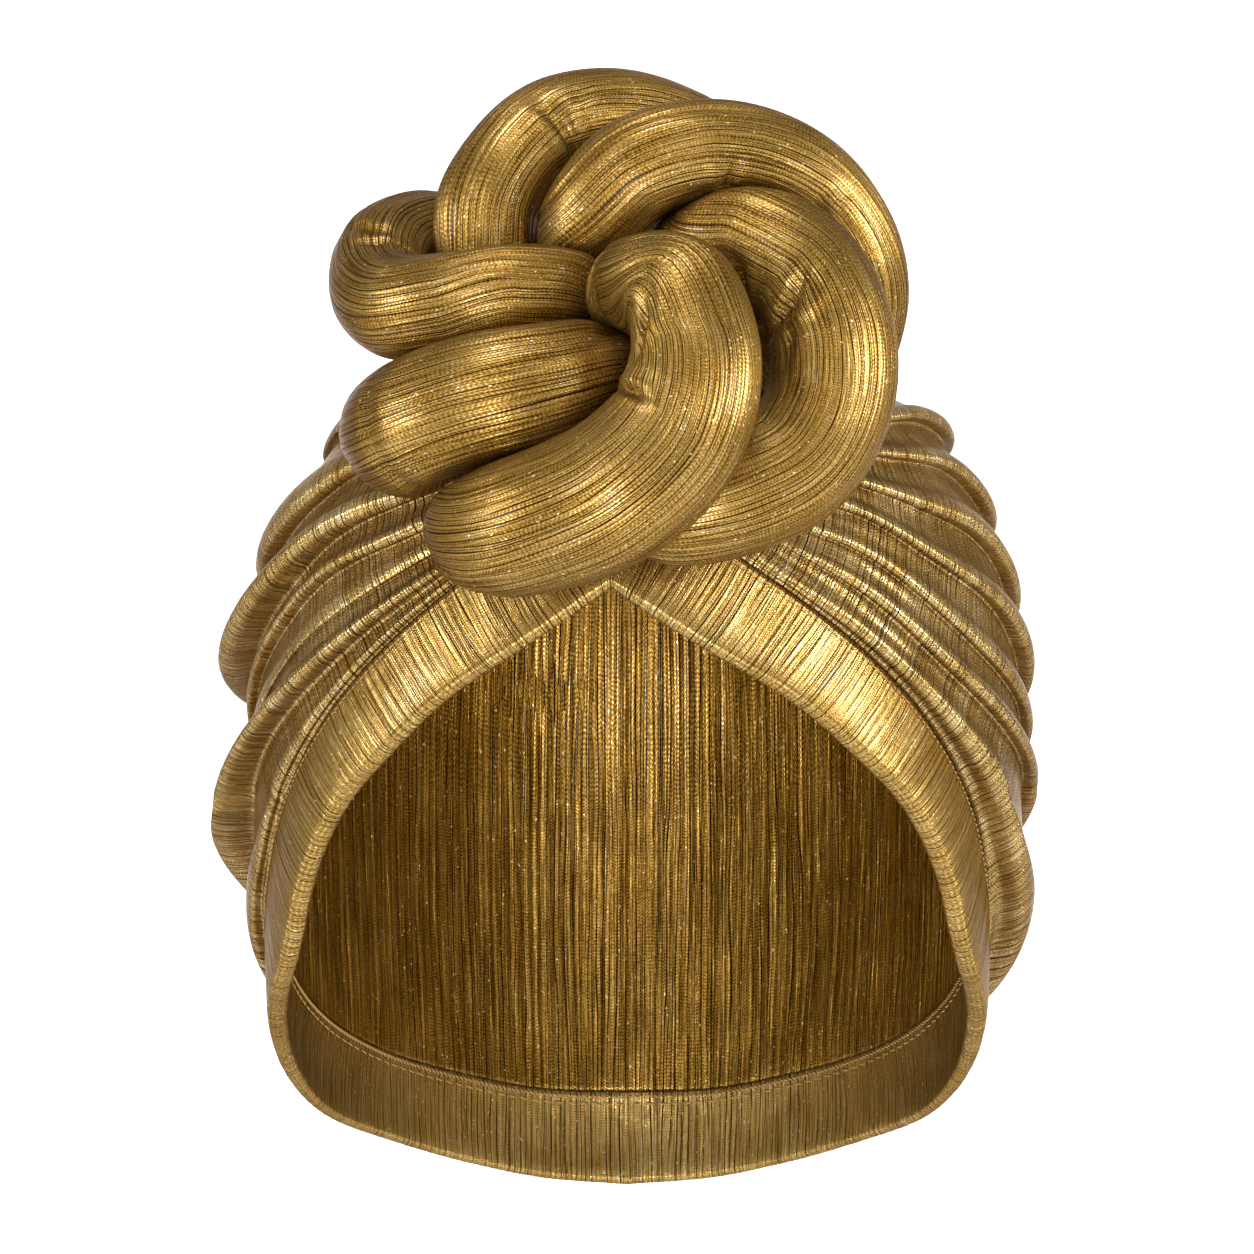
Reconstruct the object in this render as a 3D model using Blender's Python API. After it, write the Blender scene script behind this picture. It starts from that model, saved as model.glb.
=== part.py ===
"""Pre-tied turban hat of pleated metallic cloth, in eight pieces.

A ruched crown hangs from a tight face band that runs round the face opening and
the nape.  Six stuffed rolls of the same cloth are knotted into a rosette at the
top of the forehead.  Sizes in the tables are millimetres.  Azimuths are degrees
round the head: 0 is the middle of the forehead, +90 the wearer's left ear (+X),
180 the nape.  The origin is the inside of the crown's top, where a head carries it.
"""
import bpy
import numpy as np

MM = 0.001

# Cap that the pieces follow: a superellipse dome over a tapered skirt.
HALF_WIDTH = 86.0
HALF_DEPTH = 100.0
CROWN_TOP = 2.0
WIDEST_Z = -108.0
DOME_POWER = 2.5
SKIRT_TAPER = 0.075
SKIRT_HEIGHT = 90.0

CLOTH = 2.0
BAND_CLOTH = 2.4
HEM_RADIUS = 2.5
GAP = 0.4
ROLL_GAP = 0.7
KNOT_CLEARANCE = 0.4

COLUMNS = 48
ROWS_PER_FOLD = 4
TOP_ROWS = 4
ROLL_SIDES = 12
RING_SPACING = 7.5

# Face band, one row per station on the wearer's left, mirrored to the right.
# rim azimuth, rim height, seam azimuth, seam height
BAND = (
    (0, -60, 0, -36),
    (4, -64, 12, -46),
    (14, -73.5, 22.5, -56),
    (27, -85, 36, -70),
    (38.5, -98, 48, -84),
    (48, -109, 58, -97),
    (55.5, -120.5, 66.5, -109),
    (60.5, -130.5, 71.5, -117),
    (64.5, -140, 75.5, -124),
    (70.5, -149.5, 80.5, -131),
    (82, -160.5, 89, -141),
    (93, -171, 99, -151.5),
    (104, -180.5, 109.5, -161),
    (116, -188.5, 120.5, -169),
    (132, -195.5, 134, -176.5),
    (148, -202, 149, -182.5),
    (164, -207, 164.5, -187),
    (180, -209, 180, -188),
)
# The arch sits a little to the wearer's right at the forehead.
ARCH_TURN = 2.5
ARCH_TURN_REACH = 40.0

# Azimuths of the columns in the fold tables below.
STATIONS = (0, 25, 40, 55, 70, 90, 125, 180)

# Height of each fold's ridge, from the top fold down to the one above the band.
RIDGES_RIGHT = (
    (-19, -18, -20, -22.5, -22, -25, -24, -14),
    (-21.5, -25, -29, -30, -31, -41, -52, -46),
    (-24, -31, -36, -39.5, -44, -59, -78, -80),
    (-27, -40, -45.5, -56, -64, -80, -104, -110),
    (-29.5, -46, -57, -74, -85, -96, -122, -138),
    (-32, -53, -68, -85, -97, -110, -142, -163),
)
RIDGES_LEFT = (
    (-19, -17, -15, -14, -14, -17, -24, -14),
    (-21.5, -22, -23, -26, -31, -46, -56, -46),
    (-24, -33, -39, -47, -62, -76, -86, -80),
    (-27, -42, -50, -58, -73, -92, -108, -110),
    (-29.5, -49, -60, -70, -82, -104, -130, -138),
    (-32, -56, -70, -83, -96, -112, -146, -163),
)
# Height of each roll of cloth above the valleys beside it.
ROLLS_RIGHT = (
    (0.1, 1, 2, 3, 4, 4.5, 3, 0.6),
    (0.1, 1, 2, 3, 4, 5, 3, 0.6),
    (0.1, 1.2, 2.5, 3, 4, 6, 3.5, 0.6),
    (0.1, 1.5, 2.5, 3.5, 4.5, 6, 4, 0.6),
    (0.1, 1.2, 2.5, 3.5, 4.5, 5, 4, 0.6),
    (0.1, 1.2, 2, 2.5, 4, 6, 4, 0.6),
)
ROLLS_LEFT = (
    (0.1, 1, 1.5, 2, 2.5, 3, 3, 0.6),
    (0.1, 1.2, 2.5, 3.5, 4.5, 5, 4, 0.6),
    (0.1, 1.5, 3.5, 5.5, 7, 8, 5, 0.6),
    (0.1, 1.5, 3, 4.5, 5, 4, 3, 0.6),
    (0.1, 1, 2, 2.5, 3, 4, 3, 0.6),
    (0.1, 1.2, 2.5, 5, 7, 8, 6, 0.6),
)
# How far the crown's cloth stands off the cap, under its folds.
PUFF_RIGHT = (0, 1, 2.5, 4.5, 6.5, 7.5, 5.5, 1.5)
PUFF_LEFT = (0, 0.8, 1.5, 2.2, 3, 4, 4, 1.5)
LEAN = 0.7

# Knot rolls, one row per point of the roll's middle line: x, y, z, radius.
KNOT_HEART = (0.0, -55.0, 0.0)
KNOT = {
    "knot_roll_front": (
        (6.0, -62.0, -5.0, 9.5),
        (1.6, -82.5, 0.1, 11.5),
        (4.0, -100.5, 5.8, 12.6),
        (11.6, -112.3, 3.4, 13.6),
        (14.9, -117.8, -9.5, 15.0),
        (10.6, -123.2, -26.2, 16.2),
        (-2.0, -125.4, -38.9, 16.7),
        (-17.0, -121.0, -45.6, 16.3),
        (-29.4, -108.0, -47.4, 15.3),
        (-35.0, -92.8, -43.4, 13.5),
    ),
    "knot_roll_left_ear": (
        (14.0, -50.0, 3.0, 10.5),
        (12.0, -66.0, 13.0, 11.5),
        (17.2, -77.5, 17.4, 12.6),
        (27.9, -85.7, 17.4, 13.1),
        (39.1, -90.0, 10.0, 14.0),
        (45.3, -92.6, -4.2, 14.5),
        (44.6, -94.4, -19.1, 14.8),
        (37.2, -97.7, -32.1, 14.8),
        (24.9, -101.0, -39.0, 14.6),
        (9.9, -102.0, -42.6, 13.6),
        (-1.5, -97.6, -41.6, 12.0),
    ),
    "knot_roll_top": (
        (-6.0, -48.0, 4.0, 10.5),
        (-10.2, -63.2, 13.0, 12.0),
        (-7.0, -73.8, 22.6, 13.3),
        (1.8, -77.5, 31.7, 14.0),
        (15.3, -76.2, 35.8, 14.2),
        (30.0, -72.5, 33.8, 14.4),
        (42.2, -67.5, 26.2, 14.4),
        (48.9, -62.6, 15.0, 14.4),
        (50.0, -57.7, 3.1, 14.2),
        (46.5, -55.5, -7.0, 13.6),
        (37.0, -60.0, -8.5, 13.0),
        (28.0, -66.0, -2.5, 12.0),
    ),
    "knot_roll_arch": (
        (-24.0, -54.0, -8.0, 12.0),
        (-28.0, -58.6, 2.8, 12.5),
        (-30.1, -63.0, 13.7, 12.8),
        (-31.0, -63.2, 25.1, 13.0),
        (-25.8, -59.3, 35.6, 12.9),
        (-16.8, -53.2, 43.7, 12.9),
        (-4.4, -46.8, 46.3, 13.0),
        (8.8, -39.5, 43.7, 13.0),
        (20.4, -32.2, 36.8, 13.0),
        (25.9, -26.3, 24.4, 13.0),
        (18.0, -22.0, 13.5, 12.5),
        (2.0, -21.0, 11.5, 11.5),
    ),
    "knot_roll_loop": (
        (-4.0, -66.0, -6.0, 10.0),
        (-9.3, -81.4, 4.2, 10.8),
        (-23.8, -87.1, 5.4, 11.4),
        (-38.3, -86.5, 3.0, 11.8),
        (-50.0, -78.6, 2.4, 12.0),
        (-55.8, -64.4, 7.6, 12.0),
        (-54.7, -50.0, 16.7, 11.8),
        (-45.4, -38.6, 20.4, 11.6),
        (-32.9, -31.3, 17.7, 11.4),
        (-19.1, -26.8, 10.5, 11.0),
    ),
    "knot_roll_right_ear": (
        (14.2, -75.0, -13.5, 9.5),
        (-0.4, -91.3, -11.0, 11.0),
        (-16.5, -103.4, -15.5, 14.7),
        (-32.4, -104.6, -20.1, 16.8),
        (-43.0, -97.6, -23.6, 17.0),
        (-48.6, -83.1, -25.2, 16.0),
        (-47.5, -68.4, -23.5, 13.5),
    ),
}

GOLD = (0.45, 0.31, 0.10, 1.0)
DARK_GOLD = (0.36, 0.24, 0.07, 1.0)


def clear_scene():
    for obj in list(bpy.data.objects):
        bpy.data.objects.remove(obj, do_unlink=True)


def smooth(at, stations, values):
    """Cubic curve through the rows of `values`, read at the places `at`."""
    stations = np.asarray(stations, float)
    values = np.asarray(values, float)
    slope = np.gradient(values, stations, axis=0)
    i = np.clip(np.searchsorted(stations, at, side="right") - 1, 0, len(stations) - 2)
    width = stations[i + 1] - stations[i]
    f = (at - stations[i]) / width
    if values.ndim > 1:
        width = width[..., None]
        f = f[..., None]
    start = values[i] * (1 + 2 * f) * (1 - f) ** 2 + slope[i] * width * f * (1 - f) ** 2
    end = values[i + 1] * f ** 2 * (3 - 2 * f) + slope[i + 1] * width * f ** 2 * (f - 1)
    return start + end


def ring_factor(z):
    """Share of the full width that the cap has at height z."""
    up = np.clip((z - WIDEST_Z) / (CROWN_TOP - WIDEST_Z), 0, 1)
    down = np.clip((WIDEST_Z - z) / SKIRT_HEIGHT, 0, None)
    dome = (1 - up ** DOME_POWER) ** (1 / DOME_POWER)
    return np.where(z > WIDEST_Z, dome, 1 - SKIRT_TAPER * down ** 2)


def cap_point(azimuth, z):
    """Point on the cap: an ellipse whose size follows the height."""
    angle = np.radians(azimuth)
    share = ring_factor(z)
    x = HALF_WIDTH * share * np.sin(angle)
    y = -HALF_DEPTH * share * np.cos(angle)
    return np.stack([x, y, z + 0 * share], axis=-1)


def unit(vectors):
    return vectors / np.linalg.norm(vectors, axis=-1, keepdims=True)


def cap_frame(azimuth, z):
    """Outward normal and downhill direction of the cap."""
    step = 0.05
    z = np.minimum(z, CROWN_TOP - 2 * step)
    down = unit(cap_point(azimuth, z - step) - cap_point(azimuth, z + step))
    around = cap_point(azimuth + step, z) - cap_point(azimuth - step, z)
    return unit(np.cross(down, around)), down


def turned(azimuth):
    """Azimuth after the arch's small turn at the forehead."""
    return azimuth - ARCH_TURN * np.exp(-(azimuth / ARCH_TURN_REACH) ** 2)


def column_table():
    """Rim and seam of every column: rim azimuth, rim z, seam azimuth, seam z."""
    half = np.arange(COLUMNS // 2 + 1) / (COLUMNS // 2)
    rows = smooth(half * (len(BAND) - 1), np.arange(len(BAND)), BAND)
    mirrored = rows[-2:0:-1] * (-1, 1, -1, 1)
    table = np.vstack([mirrored, rows])
    for column in (0, 2):
        table[:, column] = turned(table[:, column])
    return table


def side_table(azimuth, left, right):
    """Fold table read at signed azimuths: left table for -X, right for +X."""
    on_left = smooth(np.abs(azimuth), STATIONS, np.transpose(left))
    on_right = smooth(np.abs(azimuth), STATIONS, np.transpose(right))
    return np.where((azimuth < 0)[..., None], on_left, on_right)


def slope_length(z):
    """Dome heights spread evenly for interpolation: an angle-like measure."""
    up = np.clip((z - WIDEST_Z) / (CROWN_TOP - WIDEST_Z), 0, 1)
    return np.where(z > WIDEST_Z, np.arcsin(up ** (DOME_POWER / 2)), (z - WIDEST_Z) / 90)


def height_of(length):
    """Height for a value of slope_length."""
    up = np.sin(np.clip(length, 0, np.pi / 2)) ** (2 / DOME_POWER)
    dome = WIDEST_Z + (CROWN_TOP - WIDEST_Z) * up
    return np.where(length > 0, dome, WIDEST_Z + 90 * length)


def crown_rows(azimuth, seam_z):
    """Rows of the crown from just below the pole to the seam.

    Gives each row's height, its roll of cloth, how far it stands off the cap, and the
    level of the fold's crest, which is what the knot rests on.
    """
    ridges = side_table(azimuth, RIDGES_LEFT, RIDGES_RIGHT)
    rolls = side_table(azimuth, ROLLS_LEFT, ROLLS_RIGHT)
    puff = side_table(azimuth, [PUFF_LEFT], [PUFF_RIGHT])
    folds = ridges.shape[1]
    valleys = (ridges[:, :-1] + ridges[:, 1:]) / 2
    top_valley = ridges[:, :1] + (ridges[:, :1] - ridges[:, 1:2]) / 2
    top_valley = np.minimum(top_valley, -4)
    valleys = np.hstack([top_valley, valleys, seam_z[:, None]])
    marks = slope_length(valleys)

    top = np.arange(1, TOP_ROWS + 1) / (TOP_ROWS + 1)
    top_marks = np.pi / 2 + (marks[:, :1] - np.pi / 2) * top
    fold_at = np.arange(folds * ROWS_PER_FOLD + 1) / ROWS_PER_FOLD
    k = np.minimum(fold_at.astype(int), folds - 1)
    u = fold_at - k
    fold_marks = marks[:, k] + (marks[:, k + 1] - marks[:, k]) * u

    round_roll = np.sin(np.pi * u) ** 0.8
    roll = rolls[:, k] * round_roll
    fade_in = np.minimum(fold_at + 0.6, 1)
    fade_out = np.clip((folds - fold_at) * 2.2, 0, 1) ** 0.7
    stand = puff * fade_in * fade_out
    top_stand = puff * 0.6 * top ** 2
    heights = height_of(np.hstack([top_marks, fold_marks]))
    flat_top = np.zeros_like(top_marks)
    rolls_all = np.hstack([flat_top, roll])
    stands_all = np.hstack([top_stand, stand])
    crests = np.hstack([flat_top, rolls[:, k]]) + stands_all
    return heights, rolls_all, stands_all, crests


def grid_faces(rows, columns, closed):
    """Quads of a grid of points, columns closed round or left open."""
    r, c = np.meshgrid(np.arange(rows - 1), np.arange(columns if closed else columns - 1),
                       indexing="ij")
    d = (c + 1) % columns
    quads = np.stack([r * columns + c, (r + 1) * columns + c,
                      (r + 1) * columns + d, r * columns + d], axis=-1)
    return quads.reshape(-1, 4).tolist()


def add_object(name, points, faces, colour):
    mesh = bpy.data.meshes.new(name)
    mesh.from_pydata((np.asarray(points) * MM).tolist(), [], faces)
    mesh.update()
    obj = bpy.data.objects.new(name, mesh)
    bpy.context.scene.collection.objects.link(obj)
    mesh.shade_smooth()
    material = bpy.data.materials.new(name + "_cloth")
    material.use_nodes = True
    shader = material.node_tree.nodes["Principled BSDF"]
    shader.inputs["Base Color"].default_value = colour
    shader.inputs["Metallic"].default_value = 0.7
    shader.inputs["Roughness"].default_value = 0.42
    mesh.materials.append(material)
    return obj


def crown_shape():
    """Outer points of the crown, the points of its crests' level, and their normals."""
    table = column_table()
    azimuth = table[:, 2]
    heights, rolls, stands, crests = crown_rows(azimuth, table[:, 3] + GAP)
    around = np.repeat(azimuth[:, None], heights.shape[1], axis=1)
    normal, down = cap_frame(around, heights)
    base = cap_point(around, heights)
    points = base + normal * (rolls + stands)[..., None] + down * (LEAN * rolls)[..., None]
    return points, base + normal * crests[..., None], normal


def crown():
    """Ruched crown: rolls of cloth fan from the gather under the knot to the nape."""
    points, _, _ = crown_shape()
    rows = points.transpose(1, 0, 2)
    count = rows.shape[0]
    pole = np.array([[0.0, 0.0, CROWN_TOP]])
    faces = [[a + 1, b + 1, c + 1, d + 1] for a, b, c, d in grid_faces(count, COLUMNS, True)]
    faces += [[0, j + 1, (j + 1) % COLUMNS + 1] for j in range(COLUMNS)]
    obj = add_object("crown", np.vstack([pole, rows.reshape(-1, 3)]), faces, GOLD)
    wall = obj.modifiers.new("cloth", "SOLIDIFY")
    wall.thickness = CLOTH * MM
    wall.offset = -1
    return obj


def face_band():
    """Double strip of cloth round the opening, with a rolled edge."""
    table = column_table()
    rim = cap_point(table[:, 0], table[:, 1])
    seam = cap_point(table[:, 2], table[:, 3])
    rim_normal, _ = cap_frame(table[:, 0], table[:, 1])
    seam_normal, _ = cap_frame(table[:, 2], table[:, 3])
    up = unit(seam - rim)
    middle_z = (table[:, 1] + table[:, 3]) / 2
    middle_azimuth = (table[:, 0] + table[:, 2]) / 2
    middle = cap_point(middle_azimuth, middle_z)
    middle_normal, _ = cap_frame(middle_azimuth, middle_z)
    turns = np.radians((35, 90, 140, 190, 240, 290, 325))
    heart = rim + up * HEM_RADIUS - rim_normal * BAND_CLOTH / 2
    edge = [heart + HEM_RADIUS * (up * np.cos(t) + rim_normal * np.sin(t)) for t in turns]
    section = [seam, middle] + edge + [middle - middle_normal * BAND_CLOTH,
                                       seam - seam_normal * BAND_CLOTH]
    points = np.array(section)
    count = len(section)
    faces = grid_faces(count + 1, COLUMNS, True)
    faces = [[index % (count * COLUMNS) for index in face] for face in faces]
    return add_object("face_band", points.reshape(-1, 3), faces, GOLD)


def roll_axis(rows):
    """Middle line of a roll, its radius, direction and bend, at even spacing."""
    rows = np.asarray(rows, float)
    length = np.concatenate([[0], np.cumsum(np.linalg.norm(np.diff(rows[:, :3], axis=0), axis=1))])
    count = int(round(length[-1] / RING_SPACING)) + 1
    at = np.linspace(0, length[-1], count)
    line = smooth(at, length, rows)
    centre = line[:, :3]
    forward = unit(smooth(np.minimum(at + 0.5, at[-1]), length, rows)[:, :3]
                   - smooth(np.maximum(at - 0.5, 0), length, rows)[:, :3])
    bend = np.gradient(forward, at, axis=0)
    to_end = np.minimum(at, at[-1] - at)
    cap = np.clip(1 - to_end / line[:, 3], 0, 1)
    radius = line[:, 3] * np.sqrt(np.clip(1 - cap ** 2, 0.06, 1))
    return centre, radius, forward, bend


def roll_field(points, name):
    """Distance from points to the surface of the other rolls."""
    best = np.full(points.shape[:-1], 1e6)
    for other, rows in KNOT.items():
        if other != name:
            rows = np.asarray(rows, float)
            at = np.linspace(0, len(rows) - 1, 12 * len(rows))
            line = smooth(at, np.arange(len(rows)), rows)
            apart = np.linalg.norm(points[..., None, :] - line[:, :3], axis=-1) - line[:, 3]
            best = np.minimum(best, apart.min(axis=-1))
    return best


def above_crown(points, crests, normals):
    """Height of points over the level of the crown's crests."""
    apart = points[..., None, :] - crests
    nearest = np.argmin(np.sum(apart ** 2, axis=-1), axis=-1)
    return np.sum((points - crests[nearest]) * normals[nearest], axis=-1)


def knot_roll(name):
    """Stuffed roll of cloth, pressed flat where it meets its neighbours and the crown."""
    centre, radius, forward, bend = roll_axis(KNOT[name])
    outward = centre - np.asarray(KNOT_HEART)
    outward = unit(outward - forward * np.sum(outward * forward, axis=1, keepdims=True))
    side = np.cross(outward, forward)
    turn = np.arange(ROLL_SIDES) / ROLL_SIDES * 2 * np.pi
    spoke = (outward[:, None] * np.cos(turn)[:, None] + side[:, None] * np.sin(turn)[:, None])
    inward_bend = np.sum(spoke * bend[:, None], axis=-1)
    full = np.repeat(radius[:, None], ROLL_SIDES, axis=1)
    _, crests, normals = crown_shape()
    crests = crests.reshape(-1, 3)
    normals = normals.reshape(-1, 3)
    low = 0.1 * full
    high = full.copy()
    for _ in range(16):
        reach = (low + high) / 2
        points = centre[:, None] + spoke * reach[..., None]
        free = reach - full <= roll_field(points, name) - ROLL_GAP
        free &= reach * inward_bend < 0.85
        free &= above_crown(points, crests, normals) > KNOT_CLEARANCE
        low = np.where(free, reach, low)
        high = np.where(free, high, reach)
    points = centre[:, None] + spoke * low[..., None]
    count = len(centre)
    tips = np.array([centre[0] - forward[0] * radius[0] * 0.25,
                     centre[-1] + forward[-1] * radius[-1] * 0.25])
    faces = grid_faces(count, ROLL_SIDES, True)
    first = count * ROLL_SIDES
    last_ring = (count - 1) * ROLL_SIDES
    for j in range(ROLL_SIDES):
        after = (j + 1) % ROLL_SIDES
        faces.append([first, j, after])
        faces.append([first + 1, last_ring + after, last_ring + j])
    return add_object(name, np.vstack([points.reshape(-1, 3), tips]), faces, DARK_GOLD)


def build():
    clear_scene()
    crown()
    face_band()
    for name in KNOT:
        knot_roll(name)


build()
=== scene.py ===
# %% [markdown]
# A pre-tied turban, dressed for its portrait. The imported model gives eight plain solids: a
# ruched crown, the band round the face and six stuffed rolls knotted into a rosette. This
# lesson makes each of them again as cloth: the same surfaces worked out on much finer grids,
# with pleats, creases and stitches, in a gold knit with metal thread.

# %% Load the frame
import math

import bmesh
import bpy
import mathutils
import numpy as np
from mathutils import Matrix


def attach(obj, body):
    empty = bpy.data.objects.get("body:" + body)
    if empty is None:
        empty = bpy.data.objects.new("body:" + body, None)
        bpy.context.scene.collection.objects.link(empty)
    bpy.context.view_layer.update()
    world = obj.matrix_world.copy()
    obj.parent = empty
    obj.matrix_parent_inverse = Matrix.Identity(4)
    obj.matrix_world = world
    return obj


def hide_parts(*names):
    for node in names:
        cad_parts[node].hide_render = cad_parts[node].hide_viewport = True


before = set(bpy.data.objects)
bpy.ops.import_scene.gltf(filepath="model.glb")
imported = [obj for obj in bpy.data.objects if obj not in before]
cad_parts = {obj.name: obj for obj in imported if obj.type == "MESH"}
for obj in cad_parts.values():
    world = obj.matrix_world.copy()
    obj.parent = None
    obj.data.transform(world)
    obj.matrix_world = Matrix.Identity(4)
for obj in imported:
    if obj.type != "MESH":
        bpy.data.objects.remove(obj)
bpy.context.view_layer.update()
print("solids:", ", ".join(sorted(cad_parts)))

# %% [markdown]
# The cloth lies on a head-shaped cap, an ellipse whose size follows the height: a squarish
# dome above, a slight taper below. With the cap as one formula, every seam and fold is a
# place on it: an azimuth round the head and a height. All sizes are millimetres until a mesh
# is made.

# %% The cap's sizes and its formula
MM = 0.001
HALF_WIDTH = 86.0
HALF_DEPTH = 100.0
CROWN_TOP = 2.0
WIDEST_Z = -108.0
DOME_POWER = 2.5
SKIRT_TAPER = 0.075
SKIRT_HEIGHT = 90.0


def ring_factor(z):
    """Share of full width at height z: (1 - u^p)^(1/p) on the dome, 1 - taper * d^2 below."""
    up = np.clip((z - WIDEST_Z) / (CROWN_TOP - WIDEST_Z), 0, 1)
    down = np.clip((WIDEST_Z - z) / SKIRT_HEIGHT, 0, None)
    dome = (1 - up ** DOME_POWER) ** (1 / DOME_POWER)
    return np.where(z > WIDEST_Z, dome, 1 - SKIRT_TAPER * down ** 2)


def cap_point(azimuth, z):
    """Point of the cap: x = width * sin, y = -depth * cos, both times the share at z."""
    angle = np.radians(azimuth)
    share = ring_factor(z)
    x = HALF_WIDTH * share * np.sin(angle)
    y = -HALF_DEPTH * share * np.cos(angle)
    return np.stack([x, y, z + 0 * share], axis=-1)


def unit(vectors):
    """The same directions at length 1."""
    return vectors / np.linalg.norm(vectors, axis=-1, keepdims=True)


def cap_frame(azimuth, z):
    """Outward normal and downhill direction, from small steps along the cap."""
    step = 0.05
    z = np.minimum(z, CROWN_TOP - 2 * step)
    down = unit(cap_point(azimuth, z - step) - cap_point(azimuth, z + step))
    around = cap_point(azimuth + step, z) - cap_point(azimuth - step, z)
    return unit(np.cross(down, around)), down


def smooth(at, stations, values):
    """Cubic curve through the rows of values, with slopes from the neighbouring rows."""
    stations = np.asarray(stations, float)
    values = np.asarray(values, float)
    slope = np.gradient(values, stations, axis=0)
    i = np.clip(np.searchsorted(stations, at, side="right") - 1, 0, len(stations) - 2)
    width = stations[i + 1] - stations[i]
    f = (at - stations[i]) / width
    if values.ndim > 1:
        width = width[..., None]
        f = f[..., None]
    start = values[i] * (1 + 2 * f) * (1 - f) ** 2 + slope[i] * width * f * (1 - f) ** 2
    end = values[i + 1] * f ** 2 * (3 - 2 * f) + slope[i + 1] * width * f ** 2 * (f - 1)
    return start + end


# %% [markdown]
# The band's two edges come first, because the crown hangs from the upper one. The table has
# one row per station on one side: where the rolled rim is and where the seam is. A curve
# through the rows gives as many columns as a piece needs, and the arch leans a little to the
# wearer's right at the forehead, as the real one does.

# %% Rim and seam
# rim azimuth, rim height, seam azimuth, seam height
BAND = (
    (0, -60, 0, -36), (4, -64, 12, -46), (14, -73.5, 22.5, -56),
    (27, -85, 36, -70), (38.5, -98, 48, -84), (48, -109, 58, -97),
    (55.5, -120.5, 66.5, -109), (60.5, -130.5, 71.5, -117), (64.5, -140, 75.5, -124),
    (70.5, -149.5, 80.5, -131), (82, -160.5, 89, -141), (93, -171, 99, -151.5),
    (104, -180.5, 109.5, -161), (116, -188.5, 120.5, -169), (132, -195.5, 134, -176.5),
    (148, -202, 149, -182.5), (164, -207, 164.5, -187), (180, -209, 180, -188),
)
ARCH_TURN = 2.5
ARCH_TURN_REACH = 40.0


def turned(azimuth):
    """Azimuth after the arch's small turn, which fades away from the forehead."""
    return azimuth - ARCH_TURN * np.exp(-(azimuth / ARCH_TURN_REACH) ** 2)


def column_table(columns):
    """Rim and seam of every column: the curve through the rows, mirrored, then turned."""
    half = np.arange(columns // 2 + 1) / (columns // 2)
    rows = smooth(half * (len(BAND) - 1), np.arange(len(BAND)), BAND)
    mirrored = rows[-2:0:-1] * (-1, 1, -1, 1)
    table = np.vstack([mirrored, rows])
    for column in (0, 2):
        table[:, column] = turned(table[:, column])
    return table


def closed_length(points):
    """Running length round a closed row of points, with the full length last."""
    steps = np.linalg.norm(np.roll(points, -1, axis=0) - points, axis=1)
    return np.concatenate([[0], np.cumsum(steps)])


rim_line = column_table(480)
rim_length = closed_length(cap_point(rim_line[:, 0], rim_line[:, 1]))[-1]
print("rim, once round the face and nape: %.0f mm" % rim_length)

# %% [markdown]
# Every piece here is a grid of points, so one function turns a grid into a mesh. The columns
# close into a ring, and the ring at either end can close on a tip. The UV map is in
# centimetres of cloth, so that a material draws its threads at the same size on every piece.

# %% A grid of points becomes a mesh
CM_PER_MM = 0.1


def cloth_object(name, grid, uv, first_tip=None, last_tip=None):
    """Closed-ring surface: quads between rows, fans to the tips, uv one column wider."""
    rows, columns = grid.shape[:2]
    r, c = np.meshgrid(np.arange(rows - 1), np.arange(columns), indexing="ij")
    after = (c + 1) % columns
    quads = np.stack([r * columns + c, (r + 1) * columns + c,
                      (r + 1) * columns + after, r * columns + after], axis=-1).reshape(-1, 4)
    quad_uv = np.stack([uv[:-1, :-1], uv[1:, :-1], uv[1:, 1:], uv[:-1, 1:]], axis=-2)
    points = [grid.reshape(-1, 3)]
    corners = [quads.ravel()]
    corner_uv = [quad_uv.reshape(-1, 2)]
    sizes = [np.full(len(quads), 4)]
    j = np.arange(columns)
    for tip, row, flip in ((first_tip, 0, False), (last_tip, rows - 1, True)):
        if tip is None:
            continue
        index = sum(len(p) for p in points)
        points.append(np.asarray(tip, float)[None])
        ring = row * columns + j
        following = row * columns + (j + 1) % columns
        pair = (following, ring) if flip else (ring, following)
        side = (uv[row, 1:], uv[row, :-1]) if flip else (uv[row, :-1], uv[row, 1:])
        corners.append(np.stack([np.full(columns, index), *pair], axis=1).ravel())
        middle = (side[0] + side[1]) / 2
        corner_uv.append(np.stack([middle, *side], axis=1).reshape(-1, 2))
        sizes.append(np.full(columns, 3))
    return mesh_object(name, np.vstack(points), np.concatenate(corners),
                       np.concatenate(sizes), np.vstack(corner_uv))


def mesh_object(name, points, corners, sizes, corner_uv=None):
    """Mesh from flat arrays: points in mm, the faces' corners, and each face's size."""
    mesh = bpy.data.meshes.new(name)
    mesh.vertices.add(len(points))
    mesh.vertices.foreach_set("co", (points * MM).astype(np.float32).ravel())
    mesh.loops.add(len(corners))
    mesh.loops.foreach_set("vertex_index", corners.astype(np.int32))
    mesh.polygons.add(len(sizes))
    starts = np.concatenate([[0], np.cumsum(sizes)[:-1]])
    mesh.polygons.foreach_set("loop_start", starts.astype(np.int32))
    mesh.update(calc_edges=True)
    if corner_uv is not None:
        layer = mesh.uv_layers.new(name="cloth")
        layer.data.foreach_set("uv", (corner_uv * CM_PER_MM).astype(np.float32).ravel())
    mesh.shade_smooth()
    obj = bpy.data.objects.new(name, mesh)
    bpy.context.scene.collection.objects.link(obj)
    return obj


def place(obj, *nodes):
    """The piece rides on the hat and stands for its solids, which it hides."""
    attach(obj, "root")
    if nodes:
        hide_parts(*nodes)
    triangles = sum(len(p.vertices) - 2 for p in obj.data.polygons)
    print("%s: %d triangles before its modifiers" % (obj.name, triangles))
    return obj


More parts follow.
